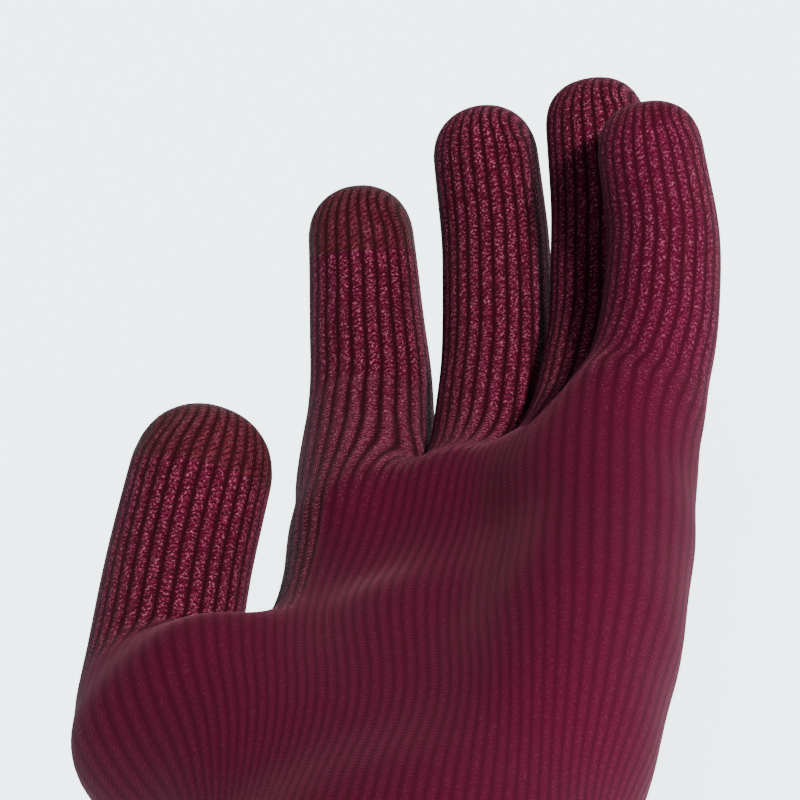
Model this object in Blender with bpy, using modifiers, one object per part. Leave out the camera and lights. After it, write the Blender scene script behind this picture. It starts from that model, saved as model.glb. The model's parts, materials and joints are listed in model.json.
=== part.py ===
"""Knitted touchscreen glove, left hand, lying on its back with the fingers part curled.

The frame: +Y runs from the cuff to the fingertips, +X to the little finger's side and +Z up,
out of the palm. The table is Z = 0 and the origin is the middle of the hem's underside.
Every finger is a chain of knitted tubes that bend at the knuckles, and each joint has an empty
on its axis.
"""
import math

import bpy
import bmesh
from mathutils import Matrix, Vector

MM = 0.001

# ---- driving dimensions, in millimetres and degrees ------------------------------------------

WALL = 1.6                    # thickness of the knitted fabric
GAP = 0.3                     # gap left between pieces that touch
TABLE_CUT = 0.6               # how far the rounded back is pressed flat by the table

HEM_LENGTH = 6.0
HEM_WALL = 2.4
HEM_HALF_WIDTH = 35.5
HEM_HALF_HEIGHT = 25.0
CUFF_HALF_WIDTH = 34.0
CUFF_HALF_HEIGHT = 24.0
CUFF_BULGE = 0.6
WRIST_Y = 64.0
WRIST_HALF_WIDTH = 31.0
WRIST_HALF_HEIGHT = 21.5
WRIST_HEIGHT = 22.0           # height of the wrist's axis above the table
WRIST_BEND = (-40.0, 40.0)
CUFF_STEPS = 40

ELASTIC_RADIUS = 0.45
ELASTIC_START = 8.0
ELASTIC_PITCH = 6.0
ELASTIC_TURNS = 4
ELASTIC_POINTS = 24           # points in one turn
LABEL_SIZE = (12.0, 16.0, 0.5)   # across the cuff, along it, thickness
LABEL_Y = 12.0
LABEL_DROP = 4.0              # how far the label hangs below the cuff's upper side
STITCH_RADIUS = 0.4

FINGER_STEPS = 18
KNUCKLE_PAST_WEB = 8.0        # how far past its web each finger's knuckle lies
AXIS_SHIFT = 0.4              # how far a knuckle's axis lies to the palm side, in finger radii
BASE_SWELL = 1.03             # a finger's radius at its root, over its middle radius
TIP_SHRINK = 0.96             # and at its tip
STUB_LENGTH = 14.0            # length of the palm's own tubes past the knuckle, before the cut
CAP_LENGTH = 12.5             # length of the conductive fingertip
SEAM_RADIUS = 0.45
SEAM_ARC = 80.0               # how much of the rounded fingertip the closing seam covers

# Each finger: centre of its root at the web, how far it leans to the little finger's side, the
# side lean of its curl, the bend at each knuckle at rest, its segment lengths, its radius, the
# lean of its knuckle axes, and the straight and folded limits of each knuckle's total bend.
FINGERS = {
    "index": dict(root=(-21.5, 166.0, 17.0), lean=-11.0, side=20.0, bend=(10.0, 31.0, 20.0),
                  lengths=(17.5, 22.0, 14.0), radius=10.2, axis_lean=4.0),
    "middle": dict(root=(-2.0, 164.0, 13.5), lean=5.0, side=8.0, bend=(21.0, 16.0, 18.0),
                   lengths=(21.5, 26.5, 16.5), radius=9.9, axis_lean=8.0),
    "ring": dict(root=(18.5, 162.0, 16.5), lean=12.0, side=5.0, bend=(19.0, 22.0, 12.0),
                 lengths=(19.5, 25.5, 15.5), radius=9.5, axis_lean=10.0),
    "little": dict(root=(29.5, 147.0, 25.0), lean=30.0, side=-6.0, bend=(29.0, 14.0, 17.0),
                   lengths=(14.0, 19.5, 14.5), radius=9.4, axis_lean=0.0),
    "thumb": dict(root=(-53.0, 98.5, 25.0), lean=-11.0, side=44.0, bend=(33.0, 19.0),
                  lengths=(26.5, 16.5), radius=12.4, axis_lean=None),
}
FINGER_FOLDED = (60.0, 80.0, 40.0)   # each finger knuckle's largest total bend
THUMB_OPEN = (38.0, 24.0)            # how far each thumb knuckle opens from rest
THUMB_CLOSED = (20.0, 35.0)          # and how far it closes
FINGER_PARTS = ("base", "middle", "tip")
THUMB_PARTS = ("base", "tip")
CAPPED = ("index", "thumb")

# The hand inside, as round bars from one point and radius to another.
PALM_BARS = (
    ((-13.0, 44.0, 20.5), 19.0, (-21.5, 150.0, 14.5), 13.5),
    ((-4.0, 44.0, 19.5), 20.5, (-2.0, 150.0, 12.5), 13.8),
    ((6.0, 44.0, 19.5), 20.5, (17.0, 148.0, 13.5), 13.5),
    ((17.5, 44.0, 21.0), 18.5, (30.5, 137.0, 19.5), 13.0),
    ((-18.0, 60.0, 22.5), 18.5, (-40.5, 91.0, 27.0), 16.5),
    ((-40.5, 91.0, 27.0), 16.5, (-53.0, 98.5, 26.0), 14.0),
    ((-37.0, 86.0, 22.0), 13.5, (-30.0, 106.0, 17.0), 11.5),
    ((-29.5, 104.0, 17.0), 10.8, (-28.0, 150.0, 16.5), 10.2),
    ((21.0, 62.0, 22.0), 16.0, (29.0, 118.0, 21.0), 15.0),
    ((28.0, 126.0, 21.5), 13.0, (31.5, 144.0, 24.5), 11.5),
    ((-4.0, 56.0, 21.5), 19.0, (-8.0, 98.0, 19.0), 17.0),
    ((-10.0, 58.0, 22.0), 18.0, (-34.0, 98.0, 25.0), 16.0),
)
BAR_SIDES = 16
SHELL_VOXEL = 3.6
SHELL_SMOOTHING = 6
SHELL_KEEP = 0.45             # share of the shell's faces kept when it is simplified

SLOTS = {
    "knit": ((0.135, 0.010, 0.028, 1.0), 0.85),
    "rib_knit": ((0.120, 0.008, 0.024, 1.0), 0.85),
    "conductive_knit": ((0.070, 0.012, 0.022, 1.0), 0.75),
    "elastic": ((0.050, 0.008, 0.014, 1.0), 0.60),
    "label": ((0.800, 0.790, 0.760, 1.0), 0.70),
    "thread": ((0.090, 0.006, 0.018, 1.0), 0.80),
}


# ---- scene, materials and collections --------------------------------------------------------

def clear_scene():
    for item in list(bpy.data.objects):
        bpy.data.objects.remove(item, do_unlink=True)


def make_collection(name):
    collection = bpy.data.collections.new(name)
    bpy.context.scene.collection.children.link(collection)
    return collection


def make_material(node, slot):
    color, roughness = SLOTS[slot]
    material = bpy.data.materials.new(node + "_" + slot)
    material.use_nodes = True
    shader = material.node_tree.nodes["Principled BSDF"]
    shader.inputs["Base Color"].default_value = color
    shader.inputs["Roughness"].default_value = roughness
    shader.inputs["Metallic"].default_value = 0.0
    material.diffuse_color = color
    return material


def add_object(name, mesh, slot=None, parent=None, matrix=None):
    """A piece in the glove's collection, or a hidden cutter where no slot is given."""
    item = bpy.data.objects.new(name, mesh)
    if slot is None:
        CUTTERS.objects.link(item)
        item.hide_render = True
        item.display_type = "WIRE"
    else:
        PARTS.objects.link(item)
        item.data.materials.append(make_material(name, slot))
    bpy.context.view_layer.update()
    if parent is not None:
        item.parent = parent
        item.matrix_parent_inverse = Matrix.Identity(4)
        world = matrix or Matrix.Identity(4)
        item.matrix_local = parent.matrix_world.inverted() @ world
    elif matrix is not None:
        item.matrix_world = matrix
    bpy.context.view_layer.update()
    return item


def add_empty(name, point, parent=None):
    empty = bpy.data.objects.new(name, None)
    PARTS.objects.link(empty)
    empty.empty_display_size = 10.0 * MM
    if parent is not None:
        empty.parent = parent
        empty.matrix_parent_inverse = Matrix.Identity(4)
        empty.location = parent.matrix_world.inverted() @ (point * MM)
    else:
        empty.location = point * MM
    bpy.context.view_layer.update()
    return empty


# ---- shapes ----------------------------------------------------------------------------------

def frame_along(origin, direction, sideways):
    """A matrix with local Z along direction and local X as near as can be to sideways."""
    z_axis = direction.normalized()
    x_axis = (sideways - sideways.dot(z_axis) * z_axis).normalized()
    y_axis = z_axis.cross(x_axis)
    turn = Matrix((x_axis, y_axis, z_axis)).transposed().to_4x4()
    return Matrix.Translation(origin * MM) @ turn


def profile_mesh(name, points, closed):
    """A turned piece's outline: (radius, height) pairs in millimetres."""
    mesh = bpy.data.meshes.new(name)
    verts = [(radius * MM, 0.0, height * MM) for radius, height in points]
    edges = [(i, i + 1) for i in range(len(verts) - 1)]
    if closed:
        edges.append((len(verts) - 1, 0))
    mesh.from_pydata(verts, edges, [])
    return mesh


def turn_profile(item, steps):
    screw = item.modifiers.new("turned", "SCREW")
    screw.axis = "Z"
    screw.angle = 2.0 * math.pi
    screw.steps = steps
    screw.render_steps = steps
    screw.use_merge_vertices = True
    screw.merge_threshold = 0.00001


def tube_outline(start, end, radius_start, radius_end):
    """An open tube from height start to height end."""
    return [(radius_end, end), (radius_start, start),
            (radius_start - WALL, start), (radius_end - WALL, end)]


def dome_outline(start, centre, radius_start, radius, steps=6):
    """A tube that starts open and is closed by a round end about height centre."""
    arc = [math.radians(90.0 * i / steps) for i in range(steps)]
    outer = [(radius * math.sin(a), centre + radius * math.cos(a)) for a in arc]
    inner_radius = radius - WALL
    inner = [(inner_radius * math.sin(a), centre + inner_radius * math.cos(a)) for a in arc]
    side = [(radius, centre)] if centre - start > 0.5 else []
    inner_side = [(inner_radius, centre)] if side else []
    foot = [(radius_start, start), (radius_start - WALL, start)]
    return outer + side + foot + inner_side + inner[::-1]


def cut(item, cutter, solver="EXACT"):
    boolean = item.modifiers.new("cut_" + cutter.name, "BOOLEAN")
    boolean.operation = "DIFFERENCE"
    boolean.solver = solver
    boolean.object = cutter


def box_cutter(name, matrix, low, high):
    """A box from low to high in the matrix's own frame."""
    mesh = bpy.data.meshes.new(name)
    shape = bmesh.new()
    bmesh.ops.create_cube(shape, size=1.0)
    size = Vector(high) - Vector(low)
    middle = (Vector(high) + Vector(low)) / 2.0
    for vert in shape.verts:
        vert.co = Vector([(middle[k] + vert.co[k] * size[k]) * MM for k in range(3)])
    shape.to_mesh(mesh)
    shape.free()
    return add_object(name, mesh, matrix=matrix)


def mitre(item, name, joint, side, half_width, reach=34.0, solver="EXACT"):
    """Cuts a piece back from a joint: side is +1 past the joint and -1 before it.

    Two flat faces meet on the joint's axis. Each is tilted by half of the motion that closes
    the gap on its own side, so that neither side collides at the joint's limits.
    """
    along = joint["along"] * side
    axis = joint["axis"]
    for label, tilt in (("inner", joint["inner_tilt"]), ("outer", -joint["outer_tilt"])):
        turn = Matrix.Rotation(math.radians(tilt) * side, 3, axis)
        normal = turn @ along
        matrix = frame_along(joint["point"], normal, axis)
        cutter = box_cutter(name + "_" + label, matrix,
                            (-half_width, -reach, -GAP), (half_width, reach, reach))
        cut(item, cutter, solver)


# ---- the skeleton ----------------------------------------------------------------------------

def make_joint(point, before, after, axis, shift, up, down):
    """A hinge between two directions. A positive turn closes the palm side."""
    along = (before.normalized() + after.normalized())
    along = (along - along.dot(axis) * axis).normalized()
    palm_side = axis.cross(along).normalized()
    return dict(point=point + palm_side * shift, axis=axis, along=along,
                inner_tilt=up / 2.0 + 1.5, outer_tilt=down / 2.0 + 1.0)


def finger_skeleton(name):
    """The centre line of a finger and the hinge at each of its knuckles."""
    spec = FINGERS[name]
    lean = math.radians(spec["lean"])
    side = math.radians(spec["side"])
    forward = Vector((math.sin(lean), math.cos(lean), 0.0))
    up = Vector((0.0, 0.0, 1.0))
    curl_to = math.cos(side) * up + math.sin(side) * forward.cross(up)
    point = Vector(spec["root"]) + KNUCKLE_PAST_WEB * forward
    directions = [forward]
    points = [point]
    total = 0.0
    for bend, length in zip(spec["bend"], spec["lengths"]):
        total += math.radians(bend)
        direction = math.cos(total) * forward + math.sin(total) * curl_to
        point = point + length * direction
        directions.append(direction)
        points.append(point)
    joints = []
    for k, bend in enumerate(spec["bend"]):
        if name == "thumb":
            axis = forward.cross(curl_to).normalized()
            closing, opening = THUMB_CLOSED[k], THUMB_OPEN[k]
        else:
            axis_lean = math.radians(spec["axis_lean"])
            axis = Vector((math.cos(axis_lean), -math.sin(axis_lean), 0.0))
            closing, opening = FINGER_FOLDED[k] - bend, bend
        joints.append(make_joint(points[k], directions[k], directions[k + 1], axis,
                                 AXIS_SHIFT * spec["radius"], closing, opening))
    return dict(root=Vector(spec["root"]), points=points, directions=directions, joints=joints,
                radius=spec["radius"])


def wrist_joint():
    forward = Vector((0.0, 1.0, 0.0))
    return make_joint(Vector((0.0, WRIST_Y, WRIST_HEIGHT)), forward, forward,
                      Vector((1.0, 0.0, 0.0)), 0.0, WRIST_BEND[1], -WRIST_BEND[0])


# ---- the cuff --------------------------------------------------------------------------------

def cuff_matrix(half_width, half_height, floor=0.0):
    """Turned about the wrist's direction, flattened to an oval, its low side on the floor."""
    turn = Matrix.Rotation(math.radians(-90.0), 4, "X")
    oval = Matrix.Diagonal((1.0, half_height / half_width, 1.0, 1.0))
    centre = Vector((0.0, 0.0, half_height - TABLE_CUT + floor)) * MM
    return Matrix.Translation(centre) @ turn @ oval


def table_cutter():
    return box_cutter("table", Matrix.Identity(4), (-120.0, -40.0, -60.0), (120.0, 300.0, 0.0))


def make_hem(table):
    half = HEM_LENGTH / 2.0
    soft = 0.8
    inner = HEM_HALF_WIDTH - HEM_WALL
    outline = [(HEM_HALF_WIDTH - soft, half), (HEM_HALF_WIDTH, half - soft),
               (HEM_HALF_WIDTH, soft - half), (HEM_HALF_WIDTH - soft, -half),
               (inner, -half), (inner, half)]
    matrix = cuff_matrix(HEM_HALF_WIDTH, HEM_HALF_HEIGHT)
    hem = add_object("cuff_hem", profile_mesh("cuff_hem", outline, True), "rib_knit",
                     matrix=matrix)
    turn_profile(hem, CUFF_STEPS)
    cut(hem, table)
    return hem


def cuff_radius(y):
    """The cuff's half width at a distance from the hem: it bulges a little, then narrows."""
    share = y / WRIST_Y
    bulge = CUFF_BULGE * math.sin(math.pi * share)
    return CUFF_HALF_WIDTH + (WRIST_HALF_WIDTH - CUFF_HALF_WIDTH) * share + bulge


def make_cuff(table, wrist):
    start = HEM_LENGTH / 2.0 + GAP
    end = WRIST_Y + 2.0
    rings = [start + (end - start) * k / 6.0 for k in range(7)]
    outer = [(cuff_radius(y), y) for y in rings[::-1]]
    inner = [(cuff_radius(y) - WALL, y) for y in rings]
    cuff = add_object("cuff_rib", profile_mesh("cuff_rib", outer + inner, True), "rib_knit",
                      matrix=cuff_matrix(CUFF_HALF_WIDTH, CUFF_HALF_HEIGHT))
    turn_profile(cuff, CUFF_STEPS)
    cut(cuff, table)
    mitre(cuff, "wrist_cuff_side", wrist, 1.0, 60.0, 60.0)
    return cuff


def make_elastic():
    """Elastic yarn laid inside the cuff, one thread wound round and round."""
    curve = bpy.data.curves.new("cuff_elastic_yarn", "CURVE")
    curve.dimensions = "3D"
    curve.bevel_depth = ELASTIC_RADIUS * MM
    curve.bevel_resolution = 1
    curve.use_fill_caps = True
    spline = curve.splines.new("POLY")
    count = ELASTIC_TURNS * ELASTIC_POINTS
    spline.points.add(count)
    flatness = CUFF_HALF_HEIGHT / CUFF_HALF_WIDTH
    for k in range(count + 1):
        angle = 2.0 * math.pi * k / ELASTIC_POINTS
        y = ELASTIC_START + ELASTIC_PITCH * k / ELASTIC_POINTS
        reach = cuff_radius(y) - WALL - ELASTIC_RADIUS - 2.0 * GAP
        place = Vector((reach * math.cos(angle), y, reach * flatness * math.sin(angle)))
        spline.points[k].co = (place * MM).to_4d()
    centre = Vector((0.0, 0.0, CUFF_HALF_HEIGHT - TABLE_CUT)) * MM
    add_object("cuff_elastic_yarn", curve, "elastic", matrix=Matrix.Translation(centre))


def make_label():
    """A small blank care label inside the cuff, held at its end by one bar of thread."""
    width, length, thick = LABEL_SIZE
    height = 2.0 * CUFF_HALF_HEIGHT - TABLE_CUT - WALL - LABEL_DROP
    mesh = bpy.data.meshes.new("care_label")
    shape = bmesh.new()
    bmesh.ops.create_cube(shape, size=1.0)
    for vert in shape.verts:
        vert.co = Vector((vert.co.x * width, vert.co.y * length, vert.co.z * thick)) * MM
    shape.to_mesh(mesh)
    shape.free()
    place = Matrix.Translation(Vector((0.0, LABEL_Y, height)) * MM)
    add_object("care_label", mesh, "label", matrix=place)

    stitch = bpy.data.meshes.new("care_label_stitch")
    shape = bmesh.new()
    centre = Vector((0.0, LABEL_Y - 0.4 * length, height + thick / 2.0 + GAP + STITCH_RADIUS))
    lying = Matrix.Translation(centre * MM) @ Matrix.Rotation(math.radians(90.0), 4, "Y")
    bmesh.ops.create_cone(shape, cap_ends=True, segments=8, radius1=STITCH_RADIUS * MM,
                          radius2=STITCH_RADIUS * MM, depth=0.75 * width * MM, matrix=lying)
    shape.to_mesh(stitch)
    shape.free()
    add_object("care_label_stitch", stitch, "thread")


# ---- the hand --------------------------------------------------------------------------------

def add_bar(shape, start, radius_start, end, radius_end):
    """A closed bar between two spheres, added to a mesh under construction."""
    start, end = Vector(start), Vector(end)
    length = (end - start).length
    turn = (end - start).to_track_quat("Z", "Y").to_matrix().to_4x4()
    middle = Matrix.Translation((start + end) / 2.0 * MM) @ turn
    bmesh.ops.create_cone(shape, cap_ends=True, segments=BAR_SIDES, radius1=radius_start * MM,
                          radius2=radius_end * MM, depth=length * MM, matrix=middle)
    for point, radius in ((start, radius_start), (end, radius_end)):
        bmesh.ops.create_uvsphere(shape, u_segments=BAR_SIDES, v_segments=10,
                                  radius=radius * MM, matrix=Matrix.Translation(point * MM))


def hand_body(name, skeletons, inset, slot=None):
    """The hand as one closed skin, each surface set in by inset."""
    shape = bmesh.new()
    for start, radius_start, end, radius_end in PALM_BARS:
        add_bar(shape, start, radius_start - inset, end, radius_end - inset)
    for finger, bones in skeletons.items():
        radius = bones["radius"] * BASE_SWELL + 0.15 - inset
        start = Vector(FINGERS[finger]["root"]) - 18.0 * bones["directions"][0]
        start.z = max(start.z, radius + inset)
        end = bones["points"][0] + STUB_LENGTH * bones["joints"][0]["along"]
        add_bar(shape, start, radius + 0.8, bones["points"][0], radius)
        add_bar(shape, bones["points"][0], radius, end, radius)
    mesh = bpy.data.meshes.new(name)
    shape.to_mesh(mesh)
    shape.free()
    body = add_object(name, mesh, slot)
    merge = body.modifiers.new("one_skin", "REMESH")
    merge.mode = "VOXEL"
    merge.voxel_size = SHELL_VOXEL * MM
    smooth = body.modifiers.new("soften", "LAPLACIANSMOOTH")
    smooth.iterations = SHELL_SMOOTHING
    smooth.lambda_factor = 0.6
    simplify = body.modifiers.new("simplify", "DECIMATE")
    simplify.ratio = SHELL_KEEP
    return body


def flatten(item, height):
    """Presses the underside flat at a height."""
    cutter = box_cutter(item.name + "_floor", Matrix.Identity(4),
                        (-120.0, -40.0, -60.0), (120.0, 300.0, height))
    cut(item, cutter)


def make_hand(skeletons, wrist, pivot):
    inner = hand_body("hand_hollow", skeletons, WALL)
    flatten(inner, WALL)
    hand = hand_body("hand_shell", skeletons, 0.0, "knit")
    hand.parent = pivot
    hand.matrix_parent_inverse = pivot.matrix_world.inverted()
    flatten(hand, 0.0)
    cut(hand, inner, "MANIFOLD")
    mitre(hand, "wrist_hand_side", wrist, -1.0, 60.0, 60.0, "MANIFOLD")
    for finger, bones in skeletons.items():
        mitre(hand, finger + "_stub", bones["joints"][0], 1.0, bones["radius"] + 1.6, 26.0,
              "MANIFOLD")
    return hand


# ---- the fingers -----------------------------------------------------------------------------

def radius_at(bones, part, share):
    """A finger's radius part-way along one of its parts."""
    count = len(bones["joints"])
    whole = (part + share) / count
    return bones["radius"] * (BASE_SWELL + (TIP_SHRINK - BASE_SWELL) * whole)


def make_segment(name, finger, bones, part, pivot):
    """One knitted tube between two knuckles, cut back from both of them."""
    start_point, end_point = bones["points"][part], bones["points"][part + 1]
    direction = bones["directions"][part + 1]
    length = (end_point - start_point).length
    joint = bones["joints"][part]
    matrix = frame_along(start_point, direction, joint["axis"])
    past = 8.0
    is_last = part == len(bones["joints"]) - 1
    if is_last:
        tip_radius = radius_at(bones, part, 1.0)
        if finger in CAPPED:
            end = length + tip_radius - CAP_LENGTH - GAP
            outline = tube_outline(-past, end, radius_at(bones, part, 0.0), tip_radius)
        else:
            outline = dome_outline(-past, length, radius_at(bones, part, 0.0), tip_radius)
        closed = finger in CAPPED
    else:
        outline = tube_outline(-past, length + past, radius_at(bones, part, 0.0),
                               radius_at(bones, part, 1.0))
        closed = True
    segment = add_object(name, profile_mesh(name, outline, closed), "knit", pivot, matrix)
    turn_profile(segment, FINGER_STEPS)
    half_width = bones["radius"] + 4.0
    mitre(segment, name + "_start", joint, -1.0, half_width)
    if not is_last:
        mitre(segment, name + "_end", bones["joints"][part + 1], 1.0, half_width)
    return segment


def make_touch_cap(name, bones, pivot):
    """The conductive fingertip: a thimble of darker knit that closes the tube."""
    part = len(bones["joints"]) - 1
    radius = radius_at(bones, part, 1.0)
    matrix = frame_along(bones["points"][-1], bones["directions"][-1], bones["joints"][-1]["axis"])
    outline = dome_outline(radius - CAP_LENGTH, 0.0, radius, radius)
    cap = add_object(name, profile_mesh(name, outline, False), "conductive_knit", pivot, matrix)
    turn_profile(cap, FINGER_STEPS)
    return cap


def make_tip_seam(name, bones, pivot):
    """The thread that closes a fingertip: a short arc that hugs the rounded end."""
    part = len(bones["joints"]) - 1
    radius = radius_at(bones, part, 1.0) + GAP + SEAM_RADIUS
    centre, along = bones["points"][-1], bones["directions"][-1]
    sideways = bones["joints"][-1]["axis"]
    sideways = (sideways - sideways.dot(along) * along).normalized()
    curve = bpy.data.curves.new(name, "CURVE")
    curve.dimensions = "3D"
    curve.bevel_depth = SEAM_RADIUS * MM
    curve.bevel_resolution = 1
    curve.use_fill_caps = True
    points = 9
    spline = curve.splines.new("POLY")
    spline.points.add(points - 1)
    for k in range(points):
        angle = math.radians(SEAM_ARC * (k / (points - 1) - 0.5))
        place = centre + radius * (math.cos(angle) * along + math.sin(angle) * sideways)
        place = place - centre
        spline.points[k].co = (place * MM).to_4d()
    return add_object(name, curve, "thread", pivot, Matrix.Translation(centre * MM))


def make_finger(finger, bones, hand_pivot):
    parts = THUMB_PARTS if finger == "thumb" else FINGER_PARTS
    pivot = hand_pivot
    for k, part in enumerate(parts):
        pivot = add_empty(finger + "_" + part + "_pivot", bones["joints"][k]["point"], pivot)
        make_segment(finger + "_" + part, finger, bones, k, pivot)
    if finger in CAPPED:
        make_touch_cap(finger + "_touch_cap", bones, pivot)
    make_tip_seam(finger + "_tip_seam", bones, pivot)


def build():
    wrist = wrist_joint()
    skeletons = {finger: finger_skeleton(finger) for finger in FINGERS}
    table = table_cutter()
    make_hem(table)
    make_cuff(table, wrist)
    make_elastic()
    make_label()
    hand_pivot = add_empty("wrist_pivot", wrist["point"])
    make_hand(skeletons, wrist, hand_pivot)
    for finger, bones in skeletons.items():
        make_finger(finger, bones, hand_pivot)


clear_scene()
PARTS = make_collection("touchscreen_glove")
CUTTERS = make_collection("cutters")
build()
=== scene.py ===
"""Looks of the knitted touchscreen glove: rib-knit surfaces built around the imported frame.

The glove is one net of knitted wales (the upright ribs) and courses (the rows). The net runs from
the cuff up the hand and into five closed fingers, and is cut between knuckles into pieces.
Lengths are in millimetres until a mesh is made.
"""
import json
import math

import bpy
import numpy as np
from mathutils import Matrix, Vector

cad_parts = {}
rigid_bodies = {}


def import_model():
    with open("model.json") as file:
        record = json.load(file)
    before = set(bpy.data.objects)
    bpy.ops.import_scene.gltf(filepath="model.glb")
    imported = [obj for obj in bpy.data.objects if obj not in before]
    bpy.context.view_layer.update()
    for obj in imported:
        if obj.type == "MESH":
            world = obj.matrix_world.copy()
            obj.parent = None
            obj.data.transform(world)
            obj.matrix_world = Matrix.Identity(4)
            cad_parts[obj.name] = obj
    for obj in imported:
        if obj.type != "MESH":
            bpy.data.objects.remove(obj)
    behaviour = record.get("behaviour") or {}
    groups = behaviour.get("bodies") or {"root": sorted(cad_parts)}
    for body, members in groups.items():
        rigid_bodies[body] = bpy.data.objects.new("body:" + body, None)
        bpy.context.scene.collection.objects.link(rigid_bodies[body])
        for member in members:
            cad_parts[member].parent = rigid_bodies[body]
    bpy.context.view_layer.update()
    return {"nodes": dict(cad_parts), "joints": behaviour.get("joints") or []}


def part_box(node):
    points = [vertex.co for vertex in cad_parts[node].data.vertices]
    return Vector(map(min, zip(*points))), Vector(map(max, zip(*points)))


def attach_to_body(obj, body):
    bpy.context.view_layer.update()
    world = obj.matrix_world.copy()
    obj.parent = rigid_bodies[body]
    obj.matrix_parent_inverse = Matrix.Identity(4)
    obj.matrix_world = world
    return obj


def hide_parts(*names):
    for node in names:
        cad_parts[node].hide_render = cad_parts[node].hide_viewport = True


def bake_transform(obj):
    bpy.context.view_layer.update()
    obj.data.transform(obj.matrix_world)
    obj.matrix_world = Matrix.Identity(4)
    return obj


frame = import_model()

MM = 0.001

# ---- driving sizes ---------------------------------------------------------------------------

AXIS_SHIFT = 0.4              # knuckle axis to the palm side of the centre line, in radii
KNUCKLE_PAST_WEB = 8.0
CAP_LENGTH = 12.5
FABRIC = 1.3                  # thickness of the fabric between its two faces
FINGER_LEAN = {"index": -11.0, "middle": 5.0, "ring": 12.0, "little": 30.0, "thumb": -11.0}
# Each finger's radius at its web and at its tip, and its drift to the little finger's side at its
# web, past its middle and at its tip.
FINGER_RADIUS = {"index": (12.6, 9.25), "middle": (10.3, 9.1), "ring": (9.7, 8.5),
                 "little": (10.6, 8.5), "thumb": (12.5, 11.8)}
FINGER_DRIFT = {"index": (-2.8, 0.9, 1.4), "middle": (0.0, 0.9, 0.8), "ring": (0.0, 0.4, 0.4),
                "little": (0.9, 1.4, 0.5), "thumb": (0.0, -0.4, -0.6)}
DRIFT_TURN = 0.6              # share of the finger's length where the middle drift is reached
CAD_RADIUS = {"index": 10.2, "middle": 9.9, "ring": 9.5, "little": 9.4, "thumb": 12.4}
ORDER = ("little", "ring", "middle", "index")
JOINT_ENDS = {"thumb": ("knuckle", "tip_bend")}
FINGER_JOINTS = ("knuckle", "middle_bend", "tip_bend")

# Wales round the glove: each finger has FRONT on the palm side, SIDE on each side and BACK behind.
FRONT = 9
SIDE = 4
THUMB_WALES = 27              # wales that run up the hand into the thumb
FINGER_WALES = 2 * FRONT + 2 * SIDE
THUMB_LOOP = THUMB_WALES + SIDE
HAND_WALES = 8 * FRONT + 2 * SIDE
LOW_WALES = HAND_WALES - SIDE + THUMB_WALES
COURSE = 1.7                  # height of one knitted stitch
ROW = 2.0 * COURSE            # height of one row of the coarse net

CUFF_TOP_Y = 60.0
HEM_HALF = 3.0
CUFF_ROWS = 17
LOW_ROWS = 14                 # coarse rows from the wrist to the thumb's root
HIGH_ROWS = 16                # and from there to the webs of the fingers
FIXED_LOW_ROWS = 1
DOME_ROWS = 5
WEB_REACH = 13.0              # how far up a finger the hand's skin still shapes it
LOOSE_ROWS = 1                # rows of a finger that settle together with the hand

# The centre line of a finger
CENTRE_ROUNDS = 12            # rounds that find the knuckle centres from their hinges
RUN_ON = 30.0                 # how far the line runs on past the web and past the tip
LINE_POINTS = 600
KNUCKLE_ROUNDING, KNUCKLE_WINDOW = 3.2, 9.0
TIP_CLEARANCE = 0.3           # the fabric's tip ends this much inside the CAD's

# The cuff and wrist are an oval that narrows from the hem.
OVAL_LENGTH, OVAL_SWELL, OVAL_SINK = 64.0, 0.6, 0.3
HEM_HALF_WIDTH, HEM_HALF_HEIGHT = 33.8, 24.0
WIDTH_TAPER, HEIGHT_TAPER = 2.6, 2.4
CUFF_FIT_START = 40.0         # from here to the wrist the cuff is drawn onto the hand
FIRST_WALE, FIRST_THUMB_WALE = math.radians(83.0), math.radians(80.0)
TIP_SQUARENESS = {"index": 2.1, "middle": 2.1, "ring": 2.35, "little": 2.35, "thumb": 2.1}

SETTLE_ROUNDS, SETTLE_STEP = 120, 0.6
IRON_ROUNDS, IRON_PALM_ROUNDS = 24, 10      # smoothing of the wrist and heel, and of the palm
LOWEST_NET, LOWEST_FACE = 0.35, 0.05        # how near the table they may come

CUFF_PIECE_TOP = 47.0         # above this the cuff belongs to the wrist piece,
WRIST_ROWS_OF_HAND = 5        # and so do this many rows of the hand
BEND_REACH = 6.6              # reach on each side of a knuckle of the span worked out for a bend
FINGER_PIECES = {2: ("knuckle", "middle", "tip"), 3: ("knuckle", "middle", "tip", "touch_cap")}

RIB_DEPTH = 0.70
STITCHES_PER_COURSE = 1.5
THUMB_FELT_END = 2.0          # how far up the thumb the palm's smooth felted fabric reaches
FELT_WAY = (-0.285, 0.844, -0.454)          # the felt fades along this, from the heel upwards
FELT_FADE = (110.0, 126.0)

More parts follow.
